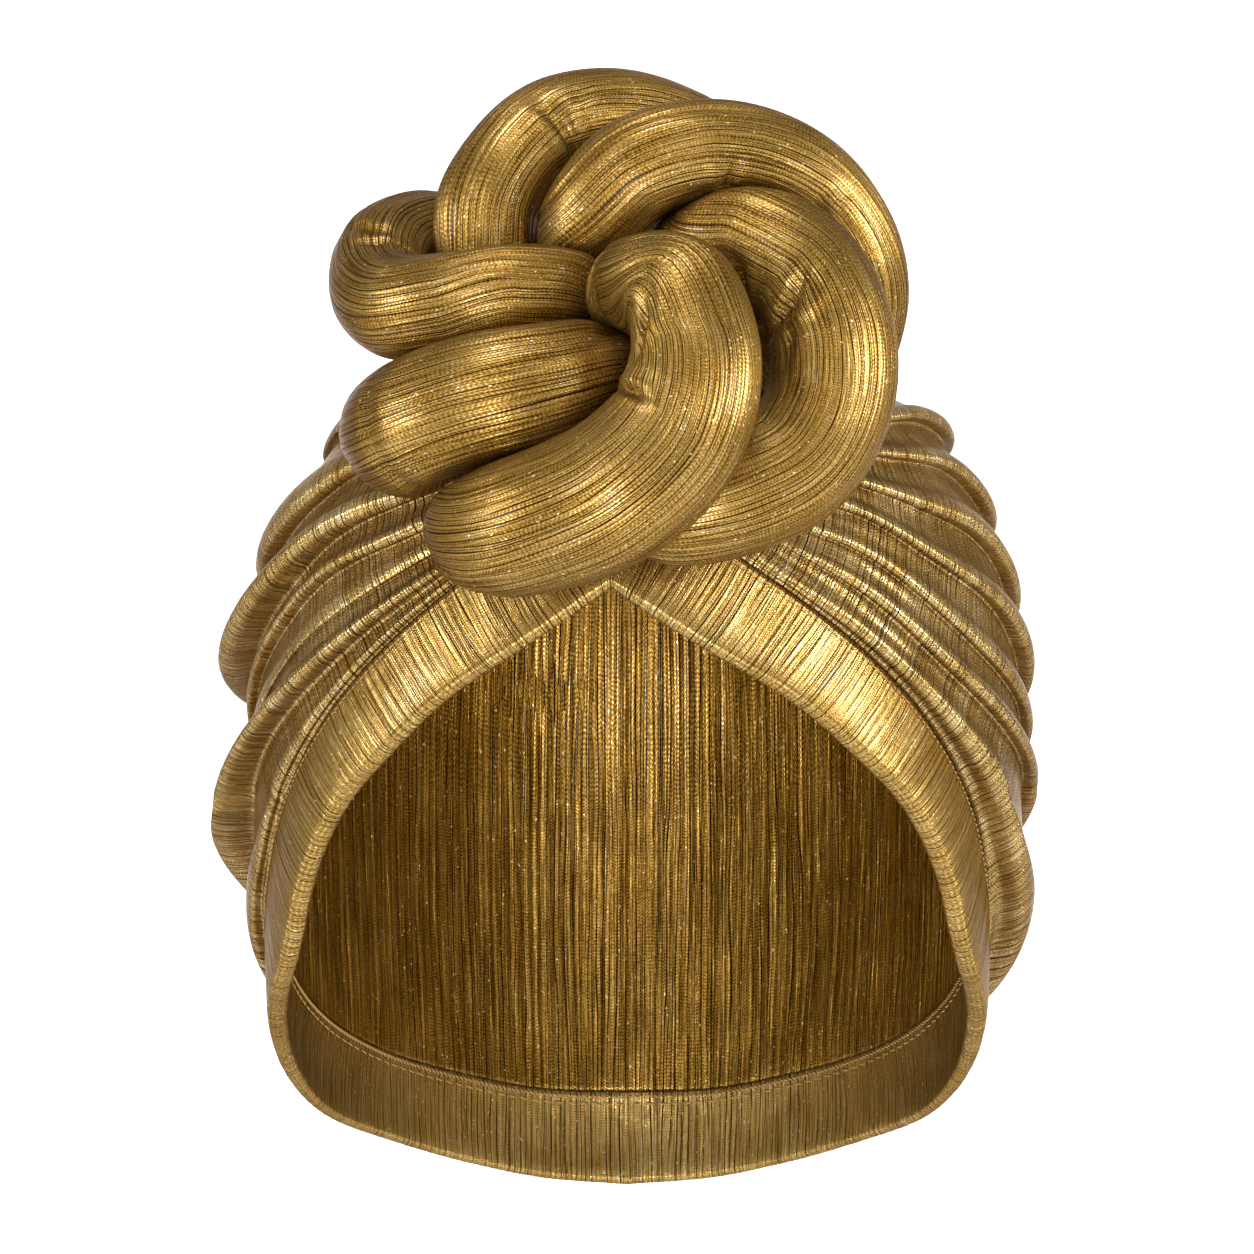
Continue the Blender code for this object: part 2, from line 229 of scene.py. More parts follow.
# %% [markdown]
# Plisse cloth is set in narrow pleats that are never quite even. A pleat here is a rounded
# ridge between two sharp creases. Widths and heights come from a seeded table of random
# numbers, so each run gives the same cloth, and the widths are scaled to end where the
# pleats began, so a closed ring shows no break. Slower unevenness is a smooth noise.

# %% Pleats and noise
def pleats(at, period, total, seed):
    """Height 0 to 1 across `at`: sin^0.6 of the share of a pleat, times its own height."""
    rng = np.random.default_rng(seed)
    count = max(int(round(total / period)), 3)
    widths = 0.55 + 0.9 * rng.random(count)
    edges = np.concatenate([[0], np.cumsum(widths)]) * total / widths.sum()
    tall = 0.45 + 0.55 * rng.random(count)
    where = np.mod(at, total)
    k = np.clip(np.searchsorted(edges, where, side="right") - 1, 0, count - 1)
    share = (where - edges[k]) / (edges[k + 1] - edges[k])
    return tall[k] * np.sin(np.pi * np.clip(share, 0, 1)) ** 0.6


def soft_noise(u, v, seed):
    """Smooth noise of two coordinates, -1 to 1, one bump per unit: blended random corners."""
    rng = np.random.default_rng(seed)
    table = rng.random((64, 64)) * 2 - 1
    iu = np.floor(u).astype(int)
    iv = np.floor(v).astype(int)
    fu = u - iu
    fv = v - iv
    fu = fu * fu * (3 - 2 * fu)
    fv = fv * fv * (3 - 2 * fv)
    near = table[iu % 64, iv % 64] * (1 - fu) + table[(iu + 1) % 64, iv % 64] * fu
    far = table[iu % 64, (iv + 1) % 64] * (1 - fu) + table[(iu + 1) % 64, (iv + 1) % 64] * fu
    return near * (1 - fv) + far * fv


# %% [markdown]
# The face band is a strip folded double, with a cord-like rolled edge where it meets the
# face. Its cross-section is carried round the rim: down the outside, round the roll, and up
# the inside. The pleats run across it: each column of the grid is one place along the rim,
# and the height changes from column to column.

# %% Face band
BAND_COLUMNS = 1800
BAND_CLOTH = 2.4
HEM_RADIUS = 2.5
HEM_RADIUS_AT_NAPE = 1.5
BAND_PLEAT = 1.7
BAND_PLEAT_HEIGHT = 0.2
BAND_PUFF = 0.4
BAND_EDGE = 0.15
BAND_SLOW = 0.3
HEM_LIP = 0.10
# the strip stops just short of the seam, and its lip goes just past it
BAND_TOP = 0.998
NAPE_TURNS = (75, 40)


def ease(x):
    """Soft step from 0 to 1: 3 x^2 - 2 x^3."""
    x = np.clip(x, 0, 1)
    return x * x * (3 - 2 * x)


def strip_point(table, share, lift):
    """Point of the band at a share of the way from rim to seam, lifted off the cap."""
    azimuth = table[:, 0] + (table[:, 2] - table[:, 0]) * share
    z = table[:, 1] + (table[:, 3] - table[:, 1]) * share
    normal, _ = cap_frame(azimuth, z)
    return cap_point(azimuth, z) + normal * np.reshape(lift, (-1, 1)), normal


def band_grid(columns):
    """Cross-section carried along the rim: outside face, rolled edge, inside face, lip."""
    table = column_table(columns)
    rim, rim_normal = strip_point(table, 0.0, 0.0)
    seam, _ = strip_point(table, 1.0, 0.0)
    up = unit(seam - rim)
    along = closed_length(rim)
    ridge = (pleats(along[:-1], BAND_PLEAT, along[-1], 11) - 0.6) * BAND_PLEAT_HEIGHT
    start, reach = NAPE_TURNS
    to_nape = ease((np.abs(table[:, 0]) - start) / reach)
    radius = HEM_RADIUS + (HEM_RADIUS_AT_NAPE - HEM_RADIUS) * to_nape
    edge = radius / np.linalg.norm(seam - rim, axis=1)
    top = radius - BAND_CLOTH / 2
    slow = BAND_SLOW * soft_noise(along[:-1] / 21, 0 * along[:-1], 12)
    rows = []
    for t in (0.0, 0.05, 0.12, 0.25, 0.42, 0.6, 0.78, 0.92):
        share = BAND_TOP + (edge - BAND_TOP) * t
        swell = (BAND_PUFF + slow) * np.sin(np.pi * t)
        lift = BAND_EDGE + (top - BAND_EDGE) * t ** 1.8 + swell + ridge * min(t * 10, 1)
        rows.append(strip_point(table, share, lift)[0])
    heart = rim + up * radius[:, None] - rim_normal * BAND_CLOTH / 2
    for turn in np.radians(np.linspace(90, 270, 13)):
        spoke = up * np.cos(turn) + rim_normal * np.sin(turn)
        rows.append(heart + spoke * (radius + ridge)[:, None])
    under = -BAND_CLOTH / 2 - radius
    for t in (0.12, 0.3, 0.5, 0.7, 0.85, 0.95, 1.0):
        share = edge + (BAND_TOP - edge) * t
        swell = (0.6 * slow - 0.3) * np.sin(np.pi * t)
        lift = under + (-BAND_CLOTH - under) * t ** 0.6 - swell - ridge
        rows.append(strip_point(table, share, lift)[0])
    for share, lift in ((1 + 0.7 * HEM_LIP, -BAND_CLOTH - 0.15), (1 + HEM_LIP, -BAND_CLOTH),
                        (1 + HEM_LIP, -2.15), (0.999, -2.05)):
        rows.append(strip_point(table, share, lift + 0.5 * ridge)[0])
    rows.append(rows[0])
    return np.array(rows), along


def band_piece():
    """The band's cross-section as a closed tube: UV is the way along the rim and round it."""
    grid, along = band_grid(BAND_COLUMNS)
    middle = grid[:, 0]
    across = np.concatenate([[0], np.cumsum(np.linalg.norm(np.diff(middle, axis=0), axis=1))])
    uv = np.stack(np.broadcast_arrays(along[None, :], across[:, None]), axis=-1)
    obj = cloth_object("face_band_cloth", grid, uv)
    weld(obj)
    return obj


def weld(obj):
    """Joins the last row of a tube-like grid to its first, which holds the same points."""
    shape = bmesh.new()
    shape.from_mesh(obj.data)
    bmesh.ops.remove_doubles(shape, verts=shape.verts, dist=1e-7)
    shape.to_mesh(obj.data)
    shape.free()


band = place(band_piece(), "face_band")

# %% [markdown]
# The crown's cloth is gathered under the knot, and its folds fan out from there. One way to
# get such folds is a cloth simulation, but it would not put each fold where the real one
# lies. So the folds are read from tables: the height of each ridge at a few azimuths, how
# high its roll of cloth stands, and how far the whole crown puffs off the head. Every fold
# has the same cross-section, stretched to its width and height: a hollow face rises to a
# round roll, and the roll hangs over the next valley, which gives the dark pockets.

# %% The crown's folds
# Left and right are the camera's in these tables. A row is a fold, from the top down, and
# its numbers are the height of its ridge at each station, or how far its roll stands out.
STATIONS = (0, 25, 40, 55, 70, 90, 125, 180)
RIDGES_RIGHT = (
    (-19, -18, -20, -22, -22, -24, -24, -14),
    (-21, -24, -28, -29, -30, -38, -50, -42),
    (-23, -30, -34.5, -38, -43, -56, -74, -70),
    (-25, -37, -41.5, -51, -59, -74, -98, -96),
    (-27.5, -43, -49, -62, -74, -88, -112, -120),
    (-29.5, -48, -59, -75, -88, -101, -128, -142),
    (-32, -54, -69, -86, -99, -114, -146, -166),
)
RIDGES_LEFT = (
    (-19, -17, -15, -14, -14, -17, -24, -14),
    (-21, -22, -23, -26, -31, -44, -54, -42),
    (-23, -31, -37, -45, -59, -73, -84, -70),
    (-25, -40, -48, -55, -68, -86, -104, -96),
    (-27.5, -45, -54, -63, -77, -97, -122, -120),
    (-29.5, -51, -64, -77, -90, -109, -138, -142),
    (-32, -55, -71, -88, -102, -121, -152, -166),
)
ROLLS_RIGHT = (
    (0.1, 1, 2, 3, 4, 4, 3, 0.6),
    (0.1, 1, 2, 3, 4, 4.5, 3, 0.6),
    (0.1, 1.2, 2.5, 3.5, 4.5, 5, 3.5, 0.6),
    (0.1, 1.5, 3, 4, 4.5, 5, 4, 0.6),
    (0.1, 1.2, 2, 2.5, 3, 3.5, 3, 0.6),
    (0.1, 1.3, 2.6, 3.4, 4, 4.5, 4, 0.6),
    (0.1, 1.2, 2, 2.5, 3.5, 4.5, 4, 0.6),
)
ROLLS_LEFT = (
    (0.1, 1, 1.5, 2, 2.5, 3, 3, 0.6),
    (0.1, 1.2, 2.5, 4, 5.5, 6.5, 4.5, 0.6),
    (0.1, 1.5, 4, 6.5, 9, 10.5, 6, 0.6),
    (0.1, 1.5, 3.2, 4, 3.5, 2.5, 3, 0.6),
    (0.1, 0.8, 1.2, 1, 1, 1.5, 2, 0.6),
    (0.1, 1.5, 3.5, 6.5, 9, 10.5, 6, 0.6),
    (0.1, 0.6, 0.8, 1, 1.5, 3, 4, 0.6),
)
PUFF_RIGHT = (0, 1, 2.4, 4, 5.8, 6.8, 5, 1.5)
PUFF_LEFT = (0, 0.8, 1.3, 1.6, 1.6, 1.8, 2.5, 1.5)
LEAN = 0.35
# cross-section of a fold: place in the row of points, then how far across, then how high
FOLD_STATIONS = (0, 0.12, 0.24, 0.35, 0.44, 0.52, 0.60, 0.68, 0.76, 0.84, 0.92, 1)
FOLD_ACROSS = (0, 0.18, 0.35, 0.48, 0.56, 0.66, 0.78, 0.88, 0.93, 0.92, 0.91, 1)
FOLD_HEIGHT = (0, 0.04, 0.16, 0.40, 0.66, 0.90, 1, 0.90, 0.66, 0.36, 0.10, 0)
GAP = 0.4
SKIRT_MARK = 90.0


def side_table(azimuth, left, right):
    """Fold table at signed azimuths: the left table for -X, the right one for +X."""
    on_left = smooth(np.abs(azimuth), STATIONS, np.transpose(left))
    on_right = smooth(np.abs(azimuth), STATIONS, np.transpose(right))
    return np.where((azimuth < 0)[..., None], on_left, on_right)


def slope_length(z):
    """Heights spread evenly along the cap: the angle of sin^(2/p) on the dome."""
    up = np.clip((z - WIDEST_Z) / (CROWN_TOP - WIDEST_Z), 0, 1)
    dome = np.arcsin(up ** (DOME_POWER / 2))
    return np.where(z > WIDEST_Z, dome, (z - WIDEST_Z) / SKIRT_MARK)


def height_of(length):
    """The height that slope_length would give back."""
    up = np.sin(np.clip(length, 0, np.pi / 2)) ** (2 / DOME_POWER)
    dome = WIDEST_Z + (CROWN_TOP - WIDEST_Z) * up
    return np.where(length > 0, dome, WIDEST_Z + SKIRT_MARK * length)


def fold_rows(azimuth, seam_z, rows_per_fold, top_rows):
    """Heights, fold number and place in the fold of every row, pole side first."""
    ridges = side_table(azimuth, RIDGES_LEFT, RIDGES_RIGHT)
    between = (ridges[:, :-1] + ridges[:, 1:]) / 2
    first = np.minimum(1.5 * ridges[:, :1] - 0.5 * ridges[:, 1:2], -4)
    marks = slope_length(np.hstack([first, between, seam_z[:, None]]))
    folds = ridges.shape[1]
    top = np.arange(1, top_rows + 1) / (top_rows + 1)
    top_marks = np.pi / 2 + (marks[:, :1] - np.pi / 2) * top
    at = np.arange(folds * rows_per_fold + 1) / rows_per_fold
    k = np.minimum(at.astype(int), folds - 1)
    across = smooth(at - k, FOLD_STATIONS, FOLD_ACROSS)
    fold_marks = marks[:, k] + (marks[:, k + 1] - marks[:, k]) * across
    return height_of(np.hstack([top_marks, fold_marks])), at, top


def crown_surface(columns, rows_per_fold, top_rows, hump):
    """Cap point + normal * (roll + puff) + downhill * lean: grid, crest level, normals."""
    table = column_table(columns)
    azimuth = table[:, 2]
    heights, at, top = fold_rows(azimuth, table[:, 3] + GAP, rows_per_fold, top_rows)
    folds = len(RIDGES_LEFT)
    k = np.minimum(at.astype(int), folds - 1)
    rolls = side_table(azimuth, ROLLS_LEFT, ROLLS_RIGHT)[:, k]
    puff = side_table(azimuth, [PUFF_LEFT], [PUFF_RIGHT])
    fade_in = np.minimum(at + 0.6, 1)
    fade_out = np.clip((folds - at) * 2.2, 0, 1) ** 0.7
    stand = np.hstack([puff * 0.6 * top ** 2, puff * fade_in * fade_out])
    flat_top = np.zeros((len(azimuth), len(top)))
    roll = np.hstack([flat_top, rolls * hump(at - k)])
    crest = np.hstack([flat_top, rolls]) + stand
    around = np.repeat(azimuth[:, None], heights.shape[1], axis=1)
    normal, down = cap_frame(around, heights)
    base = cap_point(around, heights)
    level = base + normal * crest[..., None]
    lean = (LEAN * roll)[..., None]
    return base + normal * (roll + stand)[..., None] + down * lean, level, normal, around


# %% [markdown]
# The pleats of the crown's cloth cross its folds. Near the knot they are rings round the
# gather, and at the back they stand upright. The UV map's first coordinate has to say that:
# it is the distance from the gather in front and on top, and the way round the head at the
# back, with a soft change from one to the other.

# %% Crown cloth
CROWN_COLUMNS = 216
CROWN_ROWS_PER_FOLD = 26
CROWN_TOP_ROWS = 24
CROWN_WALL = 0.8
# unevenness: height, rows to a bump, degrees to a bump
CROWN_FINE = (0.35, 4, 9)
CROWN_SLOW = (0.5, 14, 16)
# degrees from the front: the fine one is strongest at FINE_MIDDLE, the slow one full by SLOW_FULL
FINE_MIDDLE = 34
FINE_SPREAD = 20
SLOW_FULL = 30
# both die out over these rows above the seam
STEADY_ROWS = 12
GATHER = np.array([-2.0, -84.0, -31.0])
HEAD_RADIUS = 96.0
MM_PER_DEGREE = 1.62


def pleat_coordinate(points, azimuth):
    """Arc from the gather, blended into the way round the head towards the back."""
    apart = np.linalg.norm(points - GATHER, axis=-1)
    arc = 2 * HEAD_RADIUS * np.arcsin(np.clip(apart / (2 * HEAD_RADIUS), 0, 1))
    around = MM_PER_DEGREE * np.abs(azimuth)
    back = ease((np.abs(azimuth) - 55) / 65) * ease((-points[..., 2] - 12) / 45)
    return arc * (1 - back) + around * back


def fold_height(u):
    """Height of the cross-section of a fold, 1 on top of its roll."""
    return smooth(u, FOLD_STATIONS, FOLD_HEIGHT)


def crown_piece():
    """Folds + fine and slow unevenness along the normal, steady at the seam; walled inwards."""
    points, _, normal, around = crown_surface(
        CROWN_COLUMNS, CROWN_ROWS_PER_FOLD, CROWN_TOP_ROWS, fold_height)
    coordinate = pleat_coordinate(points, around)
    rows = np.arange(points.shape[1])
    height, per_rows, per_degrees = CROWN_FINE
    near = np.exp(-((np.abs(around) - FINE_MIDDLE) / FINE_SPREAD) ** 2)
    fine = height * near * soft_noise(rows / per_rows + 0 * around, around / per_degrees, 21)
    height, per_rows, per_degrees = CROWN_SLOW
    wide = soft_noise(rows / per_rows + 0 * around, around / per_degrees, 22)
    slow = height * ease(np.abs(around) / SLOW_FULL) * wide
    steady = ease((points.shape[1] - 1 - rows) / STEADY_ROWS)
    points = points + normal * ((fine + slow) * steady)[..., None]
    grid = points.transpose(1, 0, 2)
    steps = np.linalg.norm(np.diff(points, axis=1, prepend=points[:, :1]), axis=-1)
    down_line = np.cumsum(steps, axis=1)
    uv = np.stack([coordinate.T, down_line.T], axis=-1)
    uv = np.concatenate([uv, uv[:, :1]], axis=1)
    obj = cloth_object("crown_cloth", grid, uv, first_tip=(0, 0, CROWN_TOP))
    wall = obj.modifiers.new("cloth", "SOLIDIFY")
    wall.thickness = CROWN_WALL * MM
    wall.offset = -1
    return obj


crown = place(crown_piece(), "crown")

# %% [markdown]
# Through the face opening the inside of the back shows. It is the same cloth, pulled smooth
# over the head, with wider upright pleats. It is made as its own closed shell just inside
# the folds: down the outside, round the lower edge and up the inside, closed at the pole.

# %% Inner cap
CAP_COLUMNS = 1440
CAP_OUTSIDE = 1.1
CAP_INSIDE = 1.9
CAP_PLEAT = 2.5
CAP_PLEAT_HEIGHT = 0.6
CAP_OUTSIDE_ROWS = 9
CAP_INSIDE_ROWS = 28
CAP_WAVE = 0.5
CAP_WAVE_LENGTH = 24


def inner_cap_piece():
    """Shell inside the folds: outside rows, then inside rows less pleats, plus a slow wave."""
    table = column_table(CAP_COLUMNS)
    azimuth = table[:, 2]
    seam_z = table[:, 3] + GAP
    along = closed_length(cap_point(azimuth, seam_z))
    ridge = pleats(along[:-1], CAP_PLEAT, along[-1], 31)
    low = slope_length(seam_z)
    outside = np.linspace(0.04, 1, CAP_OUTSIDE_ROWS)
    inside = 1 - np.linspace(0, 1, CAP_INSIDE_ROWS) ** 1.3 * 0.97
    rows = []
    for shares, lift, swell in ((outside, -CAP_OUTSIDE, 0), (inside, -CAP_INSIDE, 1)):
        for share in shares:
            z = height_of(np.pi / 2 + (low - np.pi / 2) * share)
            normal, _ = cap_frame(azimuth, z)
            fade = swell * min(share * 2.5, 1) * ease((1 - share) / 0.05)
            wave = soft_noise(along[:-1] / CAP_WAVE_LENGTH, share * 5 + 0 * azimuth, 32)
            height = lift - fade * CAP_PLEAT_HEIGHT * ridge + fade * CAP_WAVE * wave
            rows.append(cap_point(azimuth, z) + normal * height[:, None])
    grid = np.array(rows)
    steps = np.linalg.norm(np.diff(grid, axis=0, prepend=grid[:1]), axis=-1)
    length = np.cumsum(steps.mean(axis=1))[:, None]
    uv = np.stack(np.broadcast_arrays(along[None, :], length), axis=-1)
    return cloth_object("inner_cap", grid, uv,
                        first_tip=(0, 0, CROWN_TOP - CAP_OUTSIDE),
                        last_tip=(0, 0, CROWN_TOP - CAP_INSIDE))


inner_cap = place(inner_cap_piece(), "crown")

# %% [markdown]
# The rosette is one long tube of cloth, stuffed with wadding and knotted, and six lengths of
# it show. Each is a circle carried along a curve. Where two rolls meet, both give way: a
# point of a roll may go out only as far as it is still deeper in its own roll than in its
# neighbour, less a small gap. That rule is searched for by halving, for all points at once,
# and it draws the pressed faces and the dark joints of the knot by itself.

# %% The rolls' middle lines
KNOT_HEART = np.array([0.0, -55.0, 0.0])
# x, y and z of the middle line and its radius, from the hidden root to the tip
KNOT = {
    "knot_roll_front": (
        (6.0, -62.0, -5.0, 9.5), (1.6, -82.5, 0.1, 11.5), (4.0, -100.5, 5.8, 12.6),
        (11.6, -112.3, 3.4, 13.6), (14.9, -117.8, -9.5, 15.0), (10.6, -123.2, -26.2, 16.2),
        (-2.0, -125.4, -38.9, 16.7), (-17.0, -121.0, -45.6, 16.3), (-29.4, -108.0, -47.4, 15.3),
        (-35.0, -92.8, -43.4, 13.5),
    ),
    "knot_roll_left_ear": (
        (14.0, -50.0, 3.0, 10.5), (12.0, -66.0, 13.0, 11.5), (17.2, -77.5, 17.4, 12.6),
        (27.9, -85.7, 17.4, 13.1), (39.1, -90.0, 10.0, 14.0), (45.3, -92.6, -4.2, 14.5),
        (44.6, -94.4, -19.1, 14.8), (37.2, -97.7, -32.1, 14.8), (24.9, -101.0, -39.0, 14.6),
        (9.9, -102.0, -42.6, 13.6), (-1.5, -97.6, -41.6, 12.0),
    ),
    "knot_roll_top": (
        (-6.0, -48.0, 4.0, 10.5), (-10.2, -63.2, 13.0, 12.0), (-7.0, -73.8, 22.6, 13.3),
        (1.8, -77.5, 31.7, 14.0), (15.3, -76.2, 35.8, 14.2), (30.0, -72.5, 33.8, 14.4),
        (42.2, -67.5, 26.2, 14.4), (48.9, -62.6, 15.0, 14.4), (50.0, -57.7, 3.1, 14.2),
        (46.5, -55.5, -7.0, 13.6), (37.0, -60.0, -8.5, 13.0), (28.0, -66.0, -2.5, 12.0),
    ),
    "knot_roll_arch": (
        (-24.0, -54.0, -8.0, 12.0), (-28.0, -58.6, 2.8, 12.5), (-30.1, -63.0, 13.7, 12.8),
        (-31.0, -63.2, 25.1, 13.0), (-25.8, -59.3, 35.6, 12.9), (-16.8, -53.2, 43.7, 12.9),
        (-4.4, -46.8, 46.3, 13.0), (8.8, -39.5, 43.7, 13.0), (20.4, -32.2, 36.8, 13.0),
        (25.9, -26.3, 24.4, 13.0), (18.0, -22.0, 13.5, 12.5), (2.0, -21.0, 11.5, 11.5),
    ),
    "knot_roll_loop": (
        (-4.0, -66.0, -6.0, 10.0), (-9.3, -81.4, 4.2, 10.8), (-23.8, -87.1, 5.4, 11.4),
        (-38.3, -86.5, 3.0, 11.8), (-50.0, -78.6, 2.4, 12.0), (-55.8, -64.4, 7.6, 12.0),
        (-54.7, -50.0, 16.7, 11.8), (-45.4, -38.6, 20.4, 11.6), (-32.9, -31.3, 17.7, 11.4),
        (-19.1, -26.8, 10.5, 11.0),
    ),
    "knot_roll_right_ear": (
        (14.2, -75.0, -13.5, 9.5), (-0.4, -91.3, -11.0, 11.0), (-16.5, -103.4, -15.5, 14.7),
        (-32.4, -104.6, -20.1, 16.8), (-43.0, -97.6, -23.6, 17.0), (-48.6, -83.1, -25.2, 16.0),
        (-47.5, -68.4, -23.5, 13.5),
    ),
}
# the knotted tube's own inner length, which closes the joints behind the rolls
KNOT_CORE = (
    (2.0, -44.0, 30.0, 8.0), (8.0, -43.0, 22.0, 11.0), (18.0, -43.0, 14.0, 12.0),
    (28.0, -42.0, 6.0, 12.0), (36.0, -42.0, -2.0, 11.0), (42.0, -44.0, -10.0, 9.0),
)


def roll_axis(rows, spacing):
    """Middle line at even steps: length, centre, radius, direction and bend."""
    rows = np.asarray(rows, float)
    steps = np.linalg.norm(np.diff(rows[:, :3], axis=0), axis=1)
    length = np.concatenate([[0], np.cumsum(steps)])
    count = int(round(length[-1] / spacing)) + 1
    at = np.linspace(0, length[-1], count)
    line = smooth(at, length, rows)
    forward = unit(smooth(np.minimum(at + 0.5, at[-1]), length, rows)[:, :3]
                   - smooth(np.maximum(at - 0.5, 0), length, rows)[:, :3])
    bend = np.gradient(forward, at, axis=0)
    to_end = np.minimum(at, at[-1] - at)
    cap = np.clip(1 - to_end / line[:, 3], 0, 1)
    radius = line[:, 3] * np.sqrt(np.clip(1 - cap ** 2, 0.06, 1))
    return at, line[:, :3], radius, forward, bend


def roll_frame(centre, forward):
    """Two directions across the roll: away from the knot's heart, and sideways."""
    outward = centre - KNOT_HEART
    outward = unit(outward - forward * np.sum(outward * forward, axis=1, keepdims=True))
    return outward, np.cross(outward, forward)


def other_rolls(name, step):
    """Middle lines and radii of all the rolls but one."""
    lines = []
    for other, rows in KNOT.items():
        if other != name:
            rows = np.asarray(rows, float)
            at = np.arange(0, len(rows) - 1, step)
            lines.append(smooth(at, np.arange(len(rows)), rows))
    return np.vstack(lines)


# %% [markdown]
# The search runs on a coarse grid of each roll, 64 points round and one ring every 2.5 mm,
# and the reach that it finds is then read off for the fine grid. The fine grid adds what is
# too small to press anything: the lengthwise pleats and the small tucks where a roll turns.

# %% Where a roll may reach
ROLL_GAP = 0.6
KNOT_CLEARANCE = 0.5
COARSE_SIDES = 64
COARSE_SPACING = 2.5
HALVINGS = 12
TIGHTEST_BEND = 0.85
POINTS_AT_ONCE = 2000
_, CRESTS, CREST_NORMALS, _ = crown_surface(72, 4, 4, lambda u: np.sin(np.pi * u) ** 0.8)
CRESTS = CRESTS.reshape(-1, 3)
CREST_NORMALS = CREST_NORMALS.reshape(-1, 3)


def above_crown(points):
    """Height over the level of the crown's crests, from the nearest crest point."""
    nearest = np.empty(len(points), int)
    for start in range(0, len(points), POINTS_AT_ONCE):
        part = points[start:start + POINTS_AT_ONCE]
        apart = (np.sum(part ** 2, axis=1)[:, None] - 2 * part @ CRESTS.T
                 + np.sum(CRESTS ** 2, axis=1))
        nearest[start:start + POINTS_AT_ONCE] = np.argmin(apart, axis=1)
    return np.sum((points - CRESTS[nearest]) * CREST_NORMALS[nearest], axis=-1)


def field_of(points, lines):
    """Least distance to the surface of the other rolls: |p - c| - r over their rings."""
    apart = (np.sum(points ** 2, axis=1)[:, None] - 2 * points @ lines[:, :3].T
             + np.sum(lines[:, :3] ** 2, axis=1))
    return np.min(np.sqrt(np.maximum(apart, 0)) - lines[:, 3], axis=1)


def free_reach(name, line):
    """Farthest reach of each spoke that stays out of the other rolls and the crown."""
    at, centre, radius, forward, bend = roll_axis(line, COARSE_SPACING)
    outward, side = roll_frame(centre, forward)
    turn = np.arange(COARSE_SIDES) / COARSE_SIDES * 2 * np.pi
    spoke = outward[:, None] * np.cos(turn)[:, None] + side[:, None] * np.sin(turn)[:, None]
    spoke = spoke.reshape(-1, 3)
    hub = np.repeat(centre, COARSE_SIDES, axis=0)
    full = np.repeat(radius, COARSE_SIDES)
    tight = np.sum(spoke * np.repeat(bend, COARSE_SIDES, axis=0), axis=1)
    lines = other_rolls(name, 0.1)
    low = 0.1 * full
    high = full.copy()
    for _ in range(HALVINGS):
        reach = (low + high) / 2
        points = hub + spoke * reach[:, None]
        free = reach - full <= field_of(points, lines) - ROLL_GAP
        free &= reach * tight < TIGHTEST_BEND
        free &= above_crown(points) > KNOT_CLEARANCE
        low = np.where(free, reach, low)
        high = np.where(free, high, reach)
    return low.reshape(len(at), COARSE_SIDES)


def read_off(field, rows, columns):
    """Coarse field read at a finer grid, straight between its points, closed round."""
    r = np.linspace(0, field.shape[0] - 1, rows)
    c = np.arange(columns) / columns * field.shape[1]
    r0 = np.minimum(r.astype(int), field.shape[0] - 2)
    c0 = c.astype(int)
    c1 = (c0 + 1) % field.shape[1]
    fr = ease(r - r0)[:, None] * 0.4 + (r - r0)[:, None] * 0.6
    fc = (c - c0)[None, :]
    near = field[r0][:, c0] * (1 - fc) + field[r0][:, c1] * fc
    far = field[r0 + 1][:, c0] * (1 - fc) + field[r0 + 1][:, c1] * fc
    return near * (1 - fr) + far * fr


def soften(field, times):
    """Blurs a field a little: each value becomes half itself and half its neighbours."""
    for _ in range(times):
        around = (np.roll(field, 1, axis=1) + np.roll(field, -1, axis=1)) / 2
        field = (field + around) / 2
        along = field.copy()
        along[1:-1] = (field[:-2] + field[2:]) / 2
        field = (field + along) / 2
    return field


# %% [markdown]
# Where a stuffed roll turns sharply its cloth tucks in. Each tuck is a small trough, with a
# low ridge beside it, because the cloth has to go somewhere.

# %% Fine rolls
ROLL_SIDES = 256
ROLL_SPACING = 1.6
ROLL_PLEAT = 2.3
ROLL_PLEAT_HEIGHT = 0.14
ROLL_TIP = 0.25
# size and length along the roll: pleats that wander, long sags, short swellings
SWAY = (1.4, 30)
SAG = (0.35, 45)
SWELL = (0.5, 16)
# share of the roll's length, degrees round it, half length, half width, depth, slant
TUCKS = {
    "knot_roll_front": (
        (0.42, -66, 8, 1.3, 2.4, -25),
        (0.551, -80, 7, 1.9, 2.8, 78),
        (0.37, -40, 6, 1.2, 1.0, -20),
    ),
    "knot_roll_left_ear": (
        (0.345, -108, 7, 1.6, 2.4, -65),
        (0.457, -80, 9, 1.6, 3.0, -62),
        (0.53, -95, 8, 1.6, 0.8, -20),
    ),
    "knot_roll_top": (
        (0.432, -80, 6, 1.3, 1.8, 84),
        (0.579, -72, 6, 1.3, 1.8, 74),
    ),
    "knot_roll_arch": (
        (0.379, -98, 9, 1.7, 2.8, 88),
        (0.42, -85, 6, 1.4, 1.2, 60),
    ),
    "knot_roll_loop": (
        (0.562, -100, 8, 1.6, 2.2, 85),
        (0.62, -70, 6, 1.5, 1.2, 70),
    ),
    "knot_roll_right_ear": (
        (0.715, 5, 19, 0.9, 1.2, 90),
        (0.30, -60, 8, 1.5, 1.0, 40),
    ),
    "knot_core": (),
}


